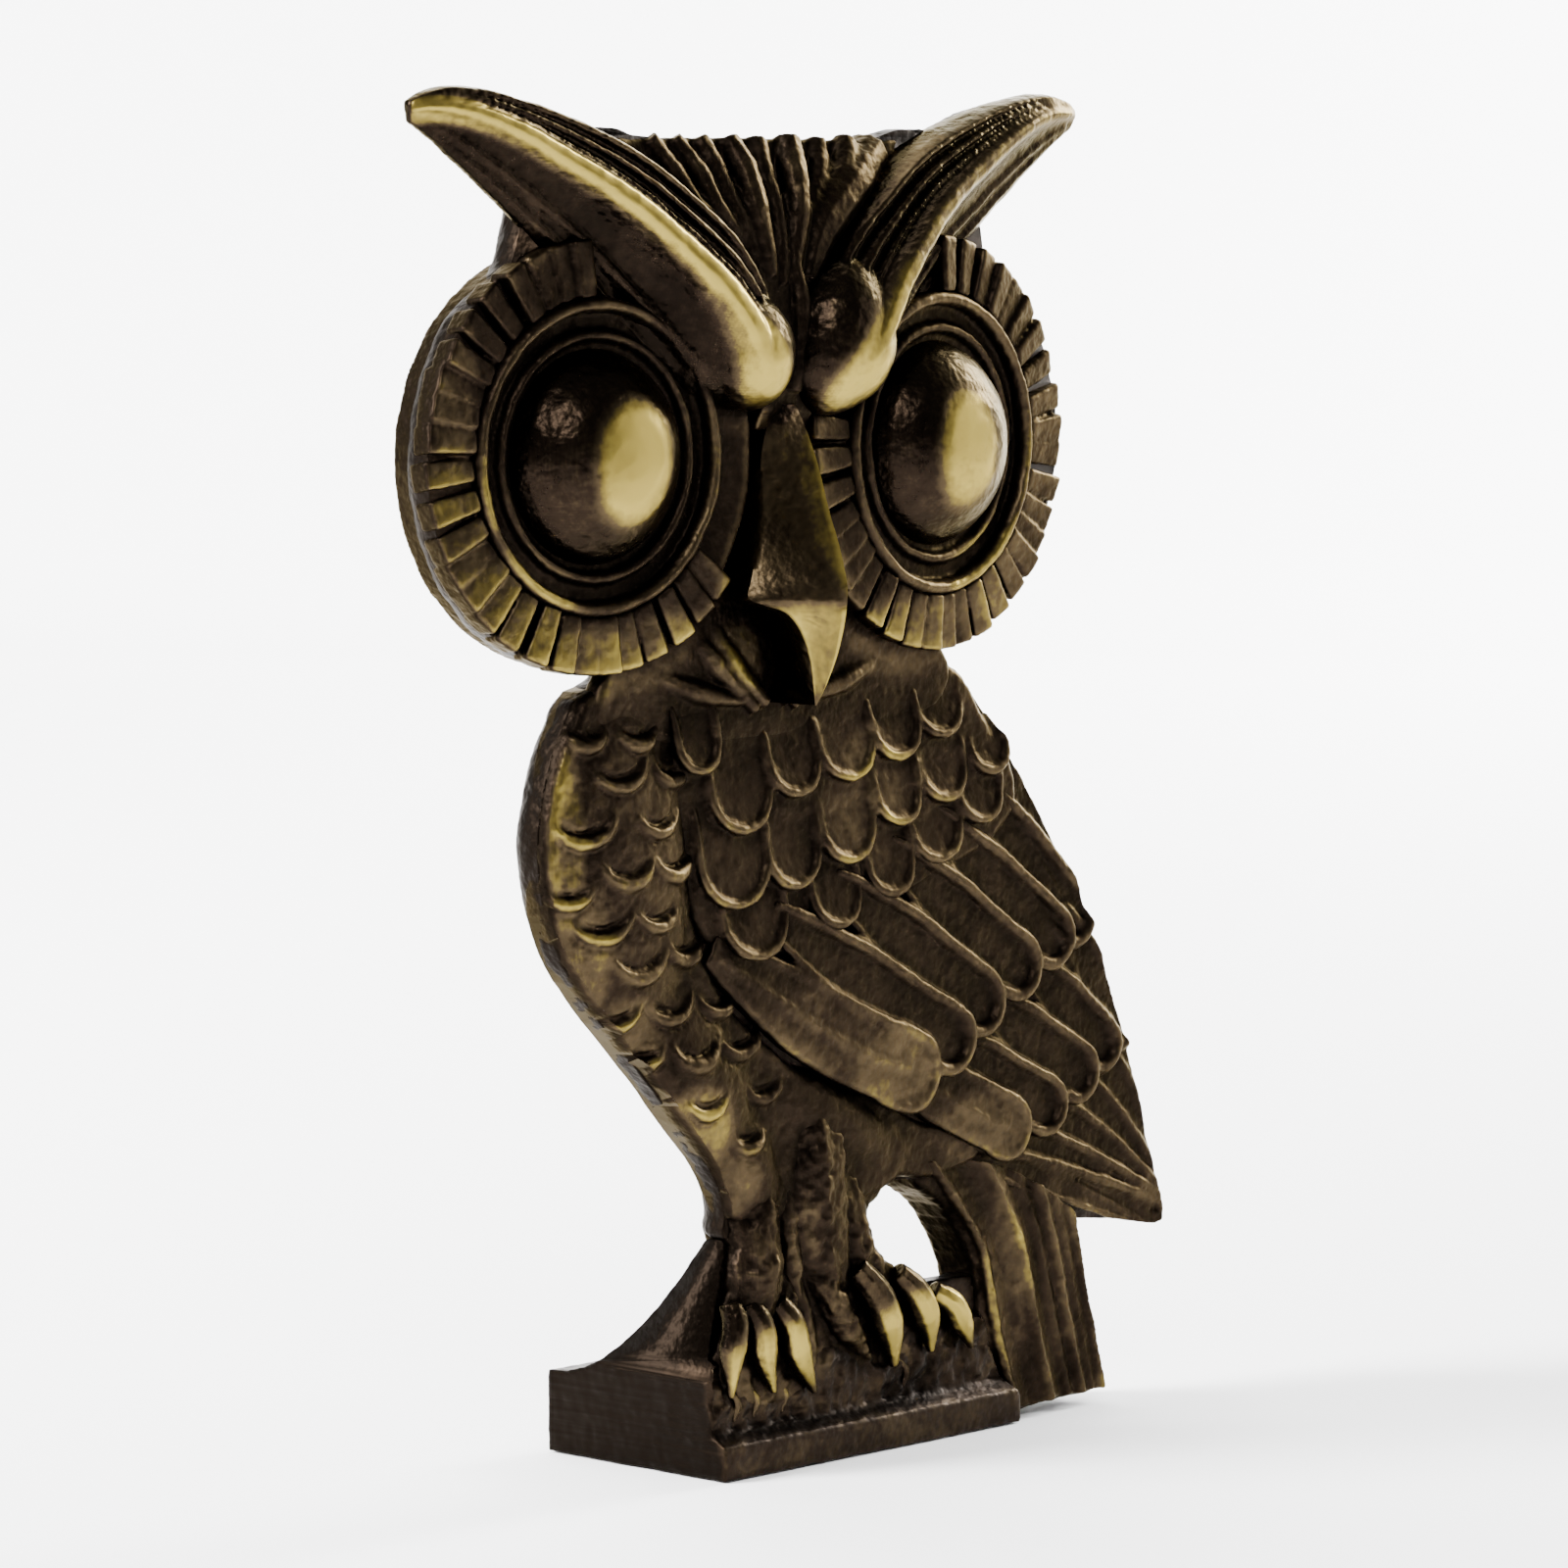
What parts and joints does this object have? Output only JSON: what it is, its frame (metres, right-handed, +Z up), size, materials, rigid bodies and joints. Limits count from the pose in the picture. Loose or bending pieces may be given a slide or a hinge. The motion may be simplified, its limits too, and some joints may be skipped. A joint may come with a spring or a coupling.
{
  "type": "owl figurine",
  "caption": "Flat-backed cast owl statuette with large round eyes, sweeping brows, hooked beak and relief feathers, standing on a base that flares backwards.",
  "frame": {"origin": "centre of the flat underside of the base", "axes": "+X to the viewer's right when facing the relief, +Y to the flat back, +Z up; the relief faces -Y"},
  "size_m": [0.1184, 0.0369, 0.149],
  "materials": {
    "plain_casting": "dark brown-black patina over smooth sand-cast brass",
    "relief_casting": "brown patina, dark in the recesses and rubbed on the ridges",
    "rubbed_casting": "patina rubbed through to bare gold on the high spots"
  },
  "bodies": {
    "root": {"base_block": "plain_casting", "left_leg": "relief_casting", "right_leg": "relief_casting", "left_toes": "rubbed_casting", "right_toes": "rubbed_casting", "body_plate": "plain_casting", "breast": "relief_casting", "breast_scales": "relief_casting", "shoulder_coverts": "relief_casting", "wing_secondaries": "relief_casting", "wing_primaries": "relief_casting", "wing_tip": "relief_casting", "tail": "relief_casting", "tail_ridges": "relief_casting", "head_plate": "plain_casting", "left_face_disc": "relief_casting", "right_face_disc": "relief_casting", "left_eye_rings": "relief_casting", "right_eye_rings": "relief_casting", "left_eyeball": "rubbed_casting", "right_eyeball": "rubbed_casting", "left_brow": "rubbed_casting", "right_brow": "rubbed_casting", "beak": "rubbed_casting", "crown_ribs": "relief_casting", "chin_ruff": "relief_casting"}
  },
  "joints": []
}
